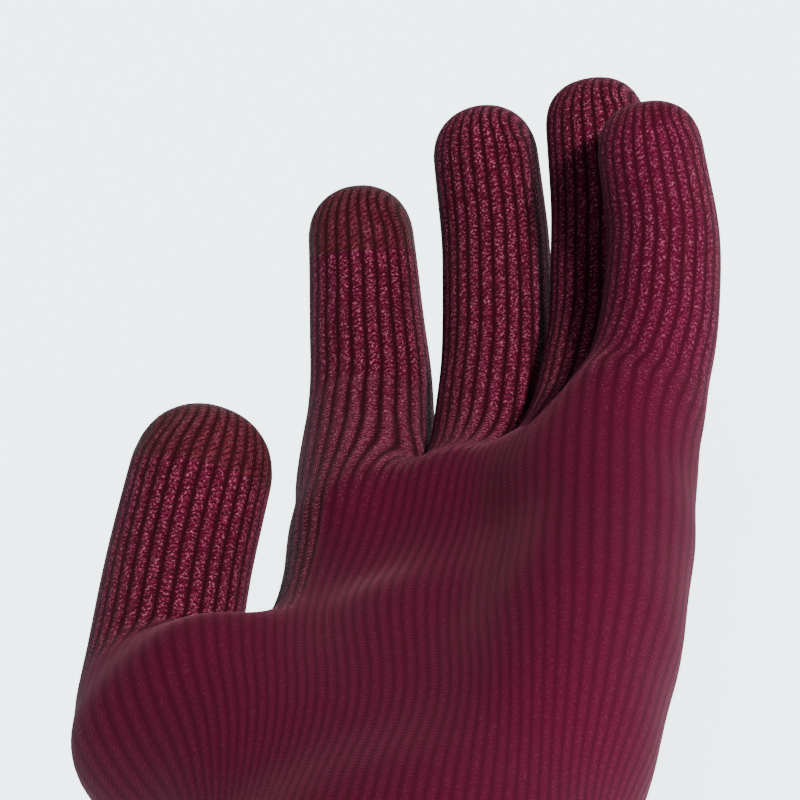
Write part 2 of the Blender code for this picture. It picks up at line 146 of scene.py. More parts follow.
# The hand that the fabric lies over, as round bars: start, its radius, end, its radius.
PALM_BARS = (
    ((-13.0, 44.0, 20.5), 18.0, (-21.5, 149.0, 14.5), 13.3),
    ((-4.0, 44.0, 19.5), 19.5, (-2.0, 149.0, 12.8), 13.3),
    ((6.0, 44.0, 19.5), 19.5, (17.0, 147.0, 13.5), 13.2),
    ((18.5, 44.0, 21.0), 18.5, (30.2, 138.0, 20.0), 13.2),
    ((-22.0, 60.0, 23.0), 20.0, (-40.5, 91.0, 27.0), 16.8),
    ((-40.5, 91.0, 27.0), 16.6, (-52.0, 98.5, 26.0), 13.4),
    ((-37.0, 86.0, 22.0), 14.0, (-30.0, 106.0, 17.0), 12.0),
    ((-28.0, 104.0, 17.0), 11.5, (-26.5, 150.0, 16.5), 10.6),
    ((22.5, 60.0, 22.0), 17.0, (29.0, 118.0, 21.0), 15.5),
    ((28.0, 128.0, 22.0), 13.4, (33.4, 149.0, 25.5), 12.4),
    ((-19.0, 147.0, 15.0), 11.8, (-5.0, 147.0, 16.2), 12.3),
    ((-5.0, 147.0, 16.2), 12.3, (15.0, 141.0, 18.2), 12.8),
    ((15.0, 141.0, 18.2), 12.8, (26.0, 134.0, 21.5), 13.5),
    ((-35.0, 66.0, 24.0), 15.5, (-50.4, 83.0, 25.2), 15.6),
    ((-4.0, 56.0, 21.5), 19.5, (-8.0, 98.0, 19.0), 17.5),
    ((-10.0, 58.0, 22.0), 18.3, (-34.0, 98.0, 22.3), 16.0),
)
PALM_BLEND = 2.5
PALM_TIGHTEN = 2.0            # what overlapping bars add when they are blended
WEB_BLEND = 0.8


def unit(v):
    return v / np.linalg.norm(v)


def smooth_step(low, high, x):
    t = np.clip((np.asarray(x, float) - low) / (high - low), 0.0, 1.0)
    return t * t * (3.0 - 2.0 * t)


# ---- the skeleton, from the frame ------------------------------------------------------------

def joint_of(name):
    return next(j for j in frame["joints"] if j["name"] == name)


def node_points(node):
    mesh = frame["nodes"][node].data
    return np.array([v.co for v in mesh.vertices]) / MM


class Finger:
    """One finger's centre line: a bent line of knuckle centres, rounded at each knuckle."""

    def __init__(self, name):
        self.base_radius, self.tip_radius = FINGER_RADIUS[name]
        ends = JOINT_ENDS.get(name, FINGER_JOINTS)
        joints = [joint_of(f"{name}_{end}") for end in ends]
        hinges = [np.array(j["pos_m"]) / MM for j in joints]
        sign = -1.0 if name == "thumb" else 1.0
        self.axis = unit(np.array(joints[0]["axis"])) * sign
        lean = math.radians(FINGER_LEAN[name])
        forward = np.array([math.sin(lean), math.cos(lean), 0.0])
        low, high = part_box(name + "_tip_seam")
        seam = np.array((low + high) / 2.0) / MM
        centres = [h.copy() for h in hinges]
        for _ in range(CENTRE_ROUNDS):
            line = centres + [seam]
            directions = [forward]
            directions += [unit(line[k + 1] - line[k]) for k in range(len(centres))]
            for k, hinge in enumerate(hinges):
                along = directions[k] + directions[k + 1]
                along = unit(along - along.dot(self.axis) * self.axis)
                palm = np.cross(self.axis, along)
                centres[k] = hinge - palm * AXIS_SHIFT * CAD_RADIUS[name]
        last = directions[-1]
        tip_node = name + ("_touch_cap" if name in ("index", "thumb") else "_tip")
        reach = ((node_points(tip_node) - centres[-1]) @ last).max()
        tip = centres[-1] + last * (reach - TIP_CLEARANCE - self.tip_radius)
        root = centres[0] - KNUCKLE_PAST_WEB * forward
        self.root = root
        self.centres = centres
        self.directions = directions
        corners = [root - RUN_ON * forward, root] + centres + [tip, tip + RUN_ON * last]
        lengths = [np.linalg.norm(b - a) for a, b in zip(corners, corners[1:])]
        self.stations = np.cumsum([-RUN_ON] + lengths)    # 0 at the web
        self.length = self.stations[-2]
        fine = np.linspace(self.stations[0], self.stations[-1], LINE_POINTS)
        raw = np.stack([np.interp(fine, self.stations, [c[k] for c in corners])
                        for k in range(3)], axis=1)
        step = fine[1] - fine[0]
        half = int(KNUCKLE_WINDOW / step)
        kernel = np.exp(-0.5 * (np.arange(-half, half + 1) * step / KNUCKLE_ROUNDING) ** 2)
        kernel /= kernel.sum()
        before = raw[:1] + (raw[:1] - raw[1:2]) * np.arange(half, 0, -1)[:, None]
        after = raw[-1:] + (raw[-1:] - raw[-2:-1]) * np.arange(1, half + 1)[:, None]
        padded = np.concatenate([before, raw, after])
        self.fine = fine
        self.line = np.stack([np.convolve(padded[:, k], kernel, "valid") for k in range(3)],
                             axis=1)
        share = np.clip(fine / self.length, 0.0, 1.0)
        start, middle, end = FINGER_DRIFT[name]
        drift = (start + smooth_step(0.0, DRIFT_TURN, share) * (middle - start)
                 + smooth_step(DRIFT_TURN, 1.0, share) * (end - middle))
        self.line += drift[:, None] * self.axis[None, :]

    def at(self, s):
        """Centre, tangent, sideways and palm-side directions at a distance past the web."""
        centre = np.array([np.interp(s, self.fine, self.line[:, k]) for k in range(3)])
        ahead = np.array([np.interp(s + 0.5, self.fine, self.line[:, k]) for k in range(3)])
        tangent = unit(ahead - centre)
        sideways = unit(self.axis - self.axis.dot(tangent) * tangent)
        return centre, tangent, sideways, np.cross(sideways, tangent)

    def station_of(self, points, mask):
        """Distance past the web of the nearest point on the centre line, for the masked points."""
        stations = np.full(len(points), -RUN_ON)
        line, fine = self.line[::8], self.fine[::8]
        away = np.stack([((points[mask] - c) ** 2).sum(axis=1) for c in line], axis=1)
        stations[mask] = fine[away.argmin(axis=1)]
        return stations

    def radius_at(self, s):
        share = np.clip(s / self.length, 0.0, 1.0)
        return self.base_radius + (self.tip_radius - self.base_radius) * share

    def bar_distance(self, p, start=-18.0, end=None):
        """Distance of points from the finger's round skin."""
        end = self.length if end is None else end
        inside = (self.fine >= start) & (self.fine <= end)
        line, s = self.line[inside][::8], self.fine[inside][::8]
        gap = np.linalg.norm(p[:, None, :] - line[None, :, :], axis=2)
        return (gap - self.radius_at(s)[None, :]).min(axis=1)


FINGERS = {name: Finger(name) for name in ORDER + ("thumb",)}


# ---- the hand's skin ---------------------------------------------------------------------------

def bar_field(p, bars):
    """Distance of points from each round bar, one column for each."""
    columns = []
    for start, r0, end, r1 in bars:
        a, b = np.array(start), np.array(end)
        ab = b - a
        h = np.clip(((p - a) @ ab) / ab.dot(ab), 0.0, 1.0)
        near = a + h[:, None] * ab
        columns.append(np.linalg.norm(p - near, axis=1) - (r0 + h * (r1 - r0)))
    return np.stack(columns, axis=1)


def soft_min(columns, k):
    low = columns.min(axis=1)
    return low - k * np.log(np.exp(-(columns - low[:, None]) / k).sum(axis=1))


def skin_distance(p):
    palm = soft_min(bar_field(p, PALM_BARS), PALM_BLEND) + PALM_TIGHTEN
    fingers = soft_min(np.stack([FINGERS[n].bar_distance(p) for n in ORDER], axis=1), WEB_BLEND)
    thumb = FINGERS["thumb"].bar_distance(p, -8.0)
    return soft_min(np.stack([palm, fingers, thumb], axis=1), 2.0)


TETRAHEDRON = np.array([(1, 1, 1), (1, -1, -1), (-1, 1, -1), (-1, -1, 1)], float)


def onto_skin(p, hold=1.0, step=0.35):
    """Moves points along the skin's own direction onto the skin."""
    values = np.stack([skin_distance(p + step * corner) for corner in TETRAHEDRON], axis=1)
    slope = values @ TETRAHEDRON
    slope /= np.maximum(np.linalg.norm(slope, axis=1, keepdims=True), 1e-6)
    return p - hold * slope * values.mean(axis=1)[:, None]


# ---- the net ---------------------------------------------------------------------------------

class Net:
    """Vertices and four-sided faces, with each corner's place in wales and courses."""

    def __init__(self):
        self.points = []
        self.fixed = []
        self.near_web = []
        self.owner = []           # finger that a vertex belongs to, or None on the hand
        self.faces = []
        self.coords = []          # per face: four (wale, course) pairs
        self.tags = []            # per face: (region, row)

    def add(self, point, fixed=False, owner=None, near_web=False):
        self.points.append(np.array(point, float))
        self.near_web.append(near_web)
        self.fixed.append(fixed)
        self.owner.append(owner)
        return len(self.points) - 1

    def strip(self, lower, upper, wale, course_low, course_high, tag, closed=True):
        """One row of faces between two loops that have the same number of vertices."""
        count = len(lower) if closed else len(lower) - 1
        for k in range(count):
            m = (k + 1) % len(lower)
            self.faces.append((lower[k], lower[m], upper[m], upper[k]))
            w = wale + k
            self.coords.append(((w, course_low), (w + 1, course_low),
                                (w + 1, course_high), (w, course_high)))
            self.tags.append(tag)


def wrist_oval(y):
    """Half width, half height and centre height of the cuff, at a distance from the hem."""
    share = np.clip(y / OVAL_LENGTH, 0.0, 1.0)
    half_width = HEM_HALF_WIDTH - WIDTH_TAPER * share + OVAL_SWELL * math.sin(math.pi * share)
    half_height = HEM_HALF_HEIGHT - HEIGHT_TAPER * share
    return half_width, half_height, half_height - OVAL_SINK


def wrist_loop(y):
    """Points round the wrist, from the little finger's side over the palm side."""
    half_width, half_height, height = wrist_oval(y)
    angles = FIRST_WALE - 2.0 * math.pi * np.arange(LOW_WALES) / LOW_WALES
    return np.stack([half_width * np.sin(angles), np.full(LOW_WALES, y),
                     np.maximum(height + half_height * np.cos(angles), 0.25)], axis=1)


def toward_skin(p):
    """A loop of the cuff, drawn onto the hand's skin as it nears the wrist."""
    hold = float(smooth_step(CUFF_FIT_START, CUFF_TOP_Y, p[0, 1]))
    for _ in range(3):
        if hold > 0.0:
            y = p[:, 1].copy()
            p = onto_skin(p, hold)
            p[:, 1] = y
    p[:, 2] = np.maximum(p[:, 2], LOWEST_NET)
    return p


def finger_angle(finger, k):
    """Angle of a finger's wale edge from the palm side, positive to the little finger's side."""
    if finger == "thumb":
        return FIRST_THUMB_WALE - 2.0 * math.pi * k / THUMB_LOOP
    half_front = math.pi * FRONT / FINGER_WALES
    return half_front - 2.0 * math.pi * k / FINGER_WALES


def finger_rows(finger):
    """Distances past the web of a finger's rows, with one row at the middle of every segment.
    The thumb's cut is one row later, because its web with the hand reaches so far up.

    Returns the distances and the row numbers where pieces are cut.
    """
    bones = FINGERS[finger]
    knuckles = bones.stations[2:-2]
    ends = [0.0] + list(knuckles)
    rows = [0.0]
    cuts = []
    later = 1 if finger == "thumb" else 0
    for a, b in zip(ends[:-1], ends[1:]):
        first = a == 0.0
        count = max(2, int(round((b - a) / ROW / 2.0)) * 2)
        for k in range(1, count + 1):
            rows.append(a + (b - a) * k / count)
            if not first and k == count // 2 + later:
                cuts.append(len(rows) - 1)
    last = ends[-1]
    if finger in ("index", "thumb"):
        cap = bones.length + bones.tip_radius - CAP_LENGTH
        count = max(2, int(round((cap - last) / ROW)))
        rows += [last + (cap - last) * k / count for k in range(1, count + 1)]
        cuts.append(len(rows) - 1)
        if bones.length - cap > 1.0:
            rows.append(bones.length)
    else:
        count = max(2, int(round((bones.length - last) / ROW)))
        rows += [last + (bones.length - last) * k / count for k in range(1, count + 1)]
    return rows, cuts


def tube_point(bones, s, angle):
    centre, _, sideways, palm = bones.at(s)
    radius = bones.radius_at(s)
    return centre + radius * (math.cos(angle) * palm + math.sin(angle) * sideways)


def dome_point(bones, angle, seam_share, rise, squareness):
    """A point of the closed fingertip: wales run over the end and meet along a crosswise seam."""
    centre, tangent, sideways, palm = bones.at(bones.length)
    radius = bones.radius_at(bones.length)
    blend = smooth_step(0.1, 1.0, math.sin(rise))
    across = (1.0 - blend) * math.sin(angle) + blend * seam_share
    across = float(np.clip(across, -0.995, 0.995))
    arc = (1.0 - abs(across) ** squareness) ** (1.0 / squareness)
    start = math.cos(angle)
    depth = arc * math.cos(rise) * (1.0 if start >= 0.0 else -1.0)
    fit = abs(start) / max((1.0 - abs(math.sin(angle)) ** squareness) ** (1.0 / squareness), 1e-6)
    depth *= (1.0 - blend) * fit + blend
    up = arc * math.sin(rise)
    return centre + radius * (across * sideways + depth * palm + up * tangent)


def grow_finger(net, finger, base, first_wale, course):
    """Adds a finger's rows above its base loop, and closes it along the fingertip's seam."""
    bones = FINGERS[finger]
    rows, cuts = finger_rows(finger)
    count = len(base)
    lower = base
    low_course = course
    for k in range(1, len(rows)):
        fixed = k > LOOSE_ROWS
        upper = [net.add(tube_point(bones, rows[k], finger_angle(finger, j)), fixed, finger,
                         rows[k] < WEB_REACH) for j in range(count)]
        high_course = course + rows[k] / COURSE
        net.strip(lower, upper, first_wale, low_course, high_course, (finger, k - 1))
        lower, low_course = upper, high_course
    # the seam joins the palm-side half of the loop to the back half
    half = count // 2
    start = -(SIDE // 2)
    if finger == "thumb":
        start = next(j for j in range(count) if finger_angle(finger, j) < math.pi / 2.0)
    odd = count - 2 * half
    for k in range(1, DOME_ROWS + 1):
        rise = 0.5 * math.pi * k / DOME_ROWS
        high_course = course + (rows[-1] + bones.tip_radius * rise) / COURSE
        upper = [None] * count
        for j in range(half + 1):
            seam_share = 0.985 * (1.0 - 2.0 * j / half)
            front = (start + j) % count
            back = (start - j - odd) % count if j else (start - odd) % count
            angle = finger_angle(finger, front)
            closed = k == DOME_ROWS
            if upper[front] is None:
                upper[front] = net.add(dome_point(bones, angle, seam_share, rise,
                                                  TIP_SQUARENESS[finger]), True, finger)
            if closed:
                upper[back] = upper[front]
            elif upper[back] is None:
                angle = finger_angle(finger, back)
                upper[back] = net.add(dome_point(bones, angle, seam_share, rise,
                                                 TIP_SQUARENESS[finger]), True, finger)
        net.strip(lower, upper, first_wale, low_course, high_course,
                  (finger, len(rows) - 1 + k - 1))
        lower, low_course = upper, high_course
    return rows, cuts


def crotch_points(a, b):
    """Four steps over the web between two fingers, from the palm side to the back."""
    first, second = FINGERS[a], FINGERS[b]
    middle = (first.root + second.root) / 2.0
    depth = (first.base_radius + second.base_radius) / 2.0
    points = []
    for k in range(SIDE + 1):
        turn = math.pi * k / SIDE
        points.append(middle + np.array([0.0, -5.0 + 4.0 * math.sin(turn),
                                         0.55 * depth * math.cos(turn)]))
    return points


def build_net():
    net = Net()
    info = {}
    # cuff and wrist
    ys = np.linspace(HEM_HALF + 0.3, CUFF_TOP_Y, CUFF_ROWS + 1)
    loops = [[net.add(p, True) for p in toward_skin(wrist_loop(y))] for y in ys]
    for k in range(CUFF_ROWS):
        net.strip(loops[k], loops[k + 1], 0, ys[k] / COURSE, ys[k + 1] / COURSE, ("cuff", k))
    wrist = loops[-1]
    wrist_course = CUFF_TOP_Y / COURSE

    # the loop at the webs: finger loops share its vertices
    front_count, back_start = 4 * FRONT, 4 * FRONT + SIDE
    top = [None] * HAND_WALES
    bases = {name: [None] * FINGER_WALES for name in ORDER}
    for f, name in enumerate(ORDER):
        bones = FINGERS[name]
        for j in range(FINGER_WALES):
            point = tube_point(bones, 0.0, finger_angle(name, j))
            if j <= FRONT:
                a = f * FRONT + j
            elif FRONT + SIDE <= j <= 2 * FRONT + SIDE:
                a = back_start + (3 - f) * FRONT + (j - FRONT - SIDE)
            elif name == "index" and j < FRONT + SIDE:
                a = front_count + (j - FRONT)
            elif name == "little" and j > 2 * FRONT + SIDE:
                a = back_start + 4 * FRONT + (j - 2 * FRONT - SIDE)
            else:
                continue
            if top[a] is None:
                top[a] = net.add(point)
            else:
                net.points[top[a]] = (net.points[top[a]] + point) / 2.0
            bases[name][j] = top[a]
    for f in range(3):
        lower, upper = ORDER[f], ORDER[f + 1]
        arc = crotch_points(lower, upper)
        inner = [net.add(p, True) for p in arc[1:-1]]
        for k, vert in enumerate(inner):
            bases[lower][FRONT + 1 + k] = vert
            bases[upper][FINGER_WALES - 1 - k] = vert
        front_vert = bases[lower][FRONT]
        back_vert = bases[lower][FRONT + SIDE]
        net.points[front_vert] = arc[0]
        net.points[back_vert] = arc[-1]
        net.fixed[front_vert] = net.fixed[back_vert] = True

    # the loop at the thumb's root: 80 wales of the hand and 31 of the thumb
    thumb = FINGERS["thumb"]
    split_y = 106.0
    split = []
    for a in range(HAND_WALES):
        if a <= front_count:
            x = 40.0 - 80.0 * a / front_count
            point = (x, split_y + 2.0, 28.0)
        elif a < back_start:
            turn = math.pi * (a - front_count) / SIDE
            point = (-41.0 - 2.0 * math.sin(turn), split_y + 2.0, 17.0 + 7.0 * math.cos(turn))
        elif a <= back_start + 4 * FRONT:
            x = -40.0 + 80.0 * (a - back_start) / (4 * FRONT)
            point = (x, split_y, 0.5)
        else:
            turn = math.pi * (a - back_start - 4 * FRONT) / SIDE
            point = (41.0 + 3.0 * math.sin(turn), split_y, 17.0 - 9.0 * math.cos(turn))
        split.append(net.add(point))
    thumb_loop = [split[front_count]]
    for j in range(1, THUMB_WALES):
        thumb_loop.append(net.add(tube_point(thumb, 0.0, finger_angle("thumb", j)), False, "thumb"))
    thumb_loop.append(split[back_start])
    thumb_loop += [split[back_start - k] for k in range(1, SIDE)]

    low_end = (split[:front_count + 1] + thumb_loop[1:THUMB_WALES] + split[back_start:])
    low = wrist
    wrist_points = [net.points[v] for v in wrist]
    end_points = [net.points[v] for v in low_end]
    for k in range(1, LOW_ROWS + 1):
        share = k / LOW_ROWS
        if k == LOW_ROWS:
            high = low_end
        else:
            y = CUFF_TOP_Y + ROW * k
            if k <= FIXED_LOW_ROWS:
                high = [net.add(p, True) for p in toward_skin(wrist_loop(y))]
            else:
                high = [net.add((1 - share) * p + share * q)
                        for p, q in zip(wrist_points, end_points)]
        net.strip(low, high, 0, wrist_course + 2 * (k - 1), wrist_course + 2 * k, ("hand", k - 1))
        low = high
    low = split
    split_points = [net.points[v] for v in split]
    top_points = [net.points[v] for v in top]
    split_course = wrist_course + 2 * LOW_ROWS
    for k in range(1, HIGH_ROWS + 1):
        share = k / HIGH_ROWS
        if k == HIGH_ROWS:
            high = top
        else:
            high = [net.add((1 - share) * p + share * q)
                    for p, q in zip(split_points, top_points)]
        # wales past the thumb's gap keep the numbers that they have below it
        net.strip(low, high, 0, split_course + 2 * (k - 1), split_course + 2 * k,
                  ("hand", LOW_ROWS + k - 1))
        low = high
    top_course = split_course + 2 * HIGH_ROWS
    info["thumb"] = grow_finger(net, "thumb", thumb_loop, front_count, split_course)
    for f, name in enumerate(ORDER):
        info[name] = grow_finger(net, name, bases[name], f * FRONT, top_course)
    return net, info


# ---- settling the net over the hand ----------------------------------------------------------

def neighbours(net):
    pairs = set()
    for face in net.faces:
        for a, b in zip(face, face[1:] + face[:1]):
            if a != b:
                pairs.add((min(a, b), max(a, b)))
    pairs = np.array(sorted(pairs))
    return np.concatenate([pairs, pairs[:, ::-1]])


def settle(net):
    """Relaxes the loose part of the net and keeps it on the hand's skin."""
    points = np.array(net.points)
    loose = ~np.array(net.fixed)
    pairs = neighbours(net)
    degree = np.bincount(pairs[:, 0], minlength=len(points)).astype(float)[:, None]
    moving = np.where(loose)[0]
    for turn in range(SETTLE_ROUNDS + 3):
        p = points[moving]
        if turn < SETTLE_ROUNDS:
            total = np.zeros_like(points)
            np.add.at(total, pairs[:, 0], points[pairs[:, 1]])
            p = p + SETTLE_STEP * ((total / degree)[moving] - p)
        if turn % 3 == 2 or turn >= SETTLE_ROUNDS:
            p = onto_skin(p)
        p[:, 2] = np.maximum(p[:, 2], LOWEST_NET)
        points[moving] = p
    near = np.where(np.array(net.near_web) & ~loose)[0]
    for _ in range(3):
        points[near] = onto_skin(points[near])
    hand = np.array([o is None for o in net.owner])
    crotch = np.array(net.fixed) & (points[:, 1] > 130.0)
    for turn in range(IRON_ROUNDS):
        total = np.zeros_like(points)
        np.add.at(total, pairs[:, 0], points[pairs[:, 1]])
        y = points[:, 1]
        weight = smooth_step(28.0, 45.0, y) * (1.0 - smooth_step(70.0, 88.0, y))
        if turn < IRON_PALM_ROUNDS:
            weight = np.maximum(weight, smooth_step(90.0, 110.0, y)
                                * (1.0 - smooth_step(134.0, 150.0, y)))
        weight = np.where(hand & ~crotch, weight, 0.0)[:, None]
        points += 0.5 * weight * (total / degree - points)
        points[:, 2] = np.maximum(points[:, 2], LOWEST_NET)
    net.points = points


def part_fingers(net, gap=0.5):
    """Presses neighbouring fingers apart where their skins would touch."""
    owner = np.array([o or "" for o in net.owner])
    for f in range(3):
        for a, b in ((ORDER[f], ORDER[f + 1]), (ORDER[f + 1], ORDER[f])):
            own = np.where(owner == a)[0]
            p = net.points[own]
            other = FINGERS[b]
            distance = other.bar_distance(p, -4.0)
            push = np.clip(gap - distance, 0.0, 4.0) / 2.0
            line = other.line[::4]
            near = line[np.linalg.norm(p[:, None] - line[None], axis=2).argmin(axis=1)]
            away = p - near
            away /= np.linalg.norm(away, axis=1, keepdims=True)
            net.points[own] = p + away * push[:, None]


# ---- from the net to knitted surfaces --------------------------------------------------------

def read(items, field, width, kind=float):
    """One field of every item in a Blender collection, one row for each item."""
    flat = np.empty(len(items) * width, dtype=kind)
    items.foreach_get(field, flat)
    return flat.reshape(-1, width)


def smooth_surface(net, levels=2):
    """Catmull-Clark subdivision of the net. Returns points, quads, their knit coordinates and
    the number of the net's face that each quad came from."""
    mesh = bpy.data.meshes.new("net")
    faces, coords = [], []
    for face, coord in zip(net.faces, net.coords):
        kept = [k for k in range(4) if face[k] != face[k - 1]]
        faces.append([face[k] for k in kept])
        coords.append([coord[k] for k in kept])
    mesh.from_pydata([tuple(p) for p in net.points], [], faces)
    layer = mesh.uv_layers.new(name="knit")
    flat = np.array([c for face in coords for c in face], float)
    layer.data.foreach_set("uv", flat.ravel())
    source = mesh.attributes.new("source", "INT", "FACE")
    source.data.foreach_set("value", np.arange(len(faces), dtype=np.int32))
    obj = bpy.data.objects.new("net", mesh)
    bpy.context.scene.collection.objects.link(obj)
    modifier = obj.modifiers.new("round", "SUBSURF")
    modifier.levels = modifier.render_levels = levels
    modifier.uv_smooth = "NONE"
    modifier.boundary_smooth = "PRESERVE_CORNERS"
    made = obj.evaluated_get(bpy.context.evaluated_depsgraph_get()).to_mesh()
    points = read(made.vertices, "co", 3)
    quads = read(made.loops, "vertex_index", 1, np.int32).reshape(-1, 4)
    uv = read(made.uv_layers["knit"].data, "uv", 2).reshape(-1, 4, 2)
    origin = read(made.attributes["source"].data, "value", 1, np.int32).ravel()
    bpy.data.objects.remove(obj)
    bpy.data.meshes.remove(mesh)
    # every quad starts at its lowest corner, so that its first side runs across the wale
    first = uv.sum(axis=2).argmin(axis=1)
    turn = (np.arange(4)[None, :] + first[:, None]) % 4
    rows = np.arange(len(quads))[:, None]
    return points, quads[rows, turn], uv[rows, turn], origin


def refine(points, quads, uv, origin, splits):
    """Splits quads evenly and welds what they share. splits has one (mask, across, along) for
    each group of quads. Returns points, quads, coordinates and origins."""
    all_p, all_quads, all_uv, all_origin = [], [], [], []
    offset = 0
    for mask, across, along in splits:
        corner_points, corner_uv = points[quads[mask]], uv[mask]
        grid_p, grid_uv = [], []
        for j in range(along + 1):
            for i in range(across + 1):
                a, b = i / across, j / along
                weights = ((1 - a) * (1 - b), a * (1 - b), a * b, (1 - a) * b)
                grid_p.append(sum(w * corner_points[:, k] for k, w in enumerate(weights)))
                grid_uv.append(sum(w * corner_uv[:, k] for k, w in enumerate(weights)))
        grid_uv = np.stack(grid_uv, axis=1)
        count, cells = mask.sum(), (across + 1) * (along + 1)
        index = offset + np.arange(count * cells).reshape(count, cells)
        offset += count * cells
        all_p.append(np.stack(grid_p, axis=1).reshape(-1, 3))
        step = across + 1
        for j in range(along):
            for i in range(across):
                cell = [j * step + i, j * step + i + 1,
                        (j + 1) * step + i + 1, (j + 1) * step + i]
                all_quads.append(index[:, cell])
                all_uv.append(grid_uv[:, cell])
                all_origin.append(origin[mask])
    flat = np.concatenate(all_p)
    keys = np.round(flat * 1e4).astype(np.int64)
    _, first, weld = np.unique(keys, axis=0, return_index=True, return_inverse=True)
    return (flat[first], weld.reshape(-1)[np.concatenate(all_quads)],
            np.concatenate(all_uv), np.concatenate(all_origin))


def vertex_normals(points, quads):
    p = points[quads]
    normal = np.cross(p[:, 2] - p[:, 0], p[:, 3] - p[:, 1])
    total = np.zeros_like(points)
    for k in range(4):
        np.add.at(total, quads[:, k], normal)
    size = np.linalg.norm(total, axis=1, keepdims=True)
    return total / np.maximum(size, 1e-9)


def average_to_vertices(count, quads, values):
    total, hits = np.zeros(count), np.zeros(count)
    np.add.at(total, quads.ravel(), values.ravel())
    np.add.at(hits, quads.ravel(), 1.0)
    return total / np.maximum(hits, 1.0)


def rib_height(u, depth):
    """Height of the knitted face: rounded wales with a sharp valley between."""
    across = np.abs(2.0 * (u - np.floor(u)) - 1.0)           # 0 on the wale's crest, 1 in a valley
    crest = np.cos(0.5 * np.pi * across)
    wale = 0.7 * crest + 0.3 * crest ** 0.5 - 0.62
    return depth * wale


def calmness(points):
    """How far the fabric is stretched and felted smooth, from 0 on the fingers and the back to 1
    on the heel of the palm."""
    x, y, z = points.T
    reach = points @ np.array(FELT_WAY)
    up_thumb = FINGERS["thumb"].station_of(points, x < -25.0)
    beside_thumb = smooth_step(THUMB_FELT_END, THUMB_FELT_END + 3.0, up_thumb)
    little = 0.6 * smooth_step(20.0, 34.0, x) * smooth_step(134.0, 166.0, y)
    return ((1.0 - smooth_step(*FELT_FADE, reach)) * smooth_step(8.0, 20.0, z)
            * (1.0 - little) * (1.0 - beside_thumb))


def mesh_object(name, points, quads, uv, normals):
    """A Blender mesh from millimetre arrays, with its knit coordinates as a UV layer."""
    used, index = np.unique(quads, return_inverse=True)
    quads = index.reshape(quads.shape)
    mesh = bpy.data.meshes.new(name)
    mesh.vertices.add(len(used))
    mesh.vertices.foreach_set("co", (points[used] * MM).ravel())
    mesh.loops.add(quads.size)
    mesh.loops.foreach_set("vertex_index", quads.ravel().astype(np.int32))
    mesh.polygons.add(len(quads))
    mesh.polygons.foreach_set("loop_start", np.arange(0, quads.size, 4, dtype=np.int32))
    mesh.polygons.foreach_set("use_smooth", np.ones(len(quads), dtype=bool))
    mesh.update(calc_edges=True)
    layer = mesh.uv_layers.new(name="knit")
    layer.data.foreach_set("uv", uv.reshape(-1))
    calm = mesh.attributes.new("calm", "FLOAT", "POINT")
    calm.data.foreach_set("value", calmness(points[used]))
    mesh.normals_split_custom_set_from_vertices([tuple(n) for n in normals[used]])
    obj = bpy.data.objects.new(name, mesh)
    bpy.context.scene.collection.objects.link(obj)
    return obj


def piece_of(region, row, course_y):
    """Name of the piece that one face of the net belongs to."""
    if region == "cuff":
        return "cuff_knit" if course_y < CUFF_PIECE_TOP else "wrist_knit"
    if region == "hand":
        return "wrist_knit" if row < WRIST_ROWS_OF_HAND else "hand_knit"
    cuts = INFO[region][1]
    names = FINGER_PIECES[len(cuts)]
    if region in ("index", "thumb"):
        names = names[:-1] + ("touch_cap",)
    return f"{region}_{names[sum(row >= cut for cut in cuts)]}_knit"


def build_pieces():
    """Cuts the knitted surface into one mesh for each stretch between bodies."""
    points, quads, uv, origin = smooth_surface(NET)
    groups = {}
    for number, (region, row) in enumerate(NET.tags):
        course_y = NET.coords[number][0][1] * COURSE
        groups.setdefault(piece_of(region, row, course_y), []).append(number)
    numbers = {name: n for n, name in enumerate(groups)}
    face_piece = np.empty(len(NET.tags), dtype=int)
    for name, members in groups.items():
        face_piece[members] = numbers[name]
    region_of = np.array([{"cuff": 0, "hand": 1}.get(t[0], 2) for t in NET.tags])
    is_finger = region_of[origin] == 2
    fine_p, fine_q, fine_uv, fine_origin = refine(
        points, quads, uv, origin, ((~is_finger, 2, 1), (is_finger, 2, 2)))
    fine_piece = face_piece[fine_origin]
    normals = vertex_normals(fine_p, fine_q)
    depth = RIB_DEPTH * (1.0 - 0.5 * calmness(fine_p))
    lift = depth * average_to_vertices(len(fine_p), fine_q, rib_height(fine_uv[..., 0], 1.0))
    face = fine_p + normals * lift[:, None]
    face[:, 2] = np.maximum(face[:, 2], LOWEST_FACE)
    shading = vertex_normals(face, fine_q)
    inner_p, inner_q, inner_uv, inner_origin = smooth_surface(NET, levels=1)
    inner_n = vertex_normals(inner_p, inner_q)
    inner_piece = face_piece[inner_origin]
    lining = inner_p - inner_n * FABRIC
    pieces = {}
    for name, n in numbers.items():
        outer = fine_q[fine_piece == n]
        inside = inner_q[inner_piece == n][:, ::-1] + len(face)
        inside_uv = inner_uv[inner_piece == n][:, ::-1]
        pieces[name] = mesh_object(
            name, np.concatenate([face, lining]), np.concatenate([outer, inside]),
            np.concatenate([fine_uv[fine_piece == n], inside_uv]),
            np.concatenate([shading, -inner_n]))
    return pieces


NET, INFO = build_net()
settle(NET)
part_fingers(NET)
PIECES = build_pieces()


# The hem's cross-section: outward from the cuff's face, and distance along the cuff.
HEM_PROFILE = ((-1.5, 3.4), (-1.75, 0.6), (-1.4, -2.0), (-0.2, -2.9), (1.0, -2.2),
               (1.35, 0.4), (1.1, 2.8), (-0.2, 3.7))


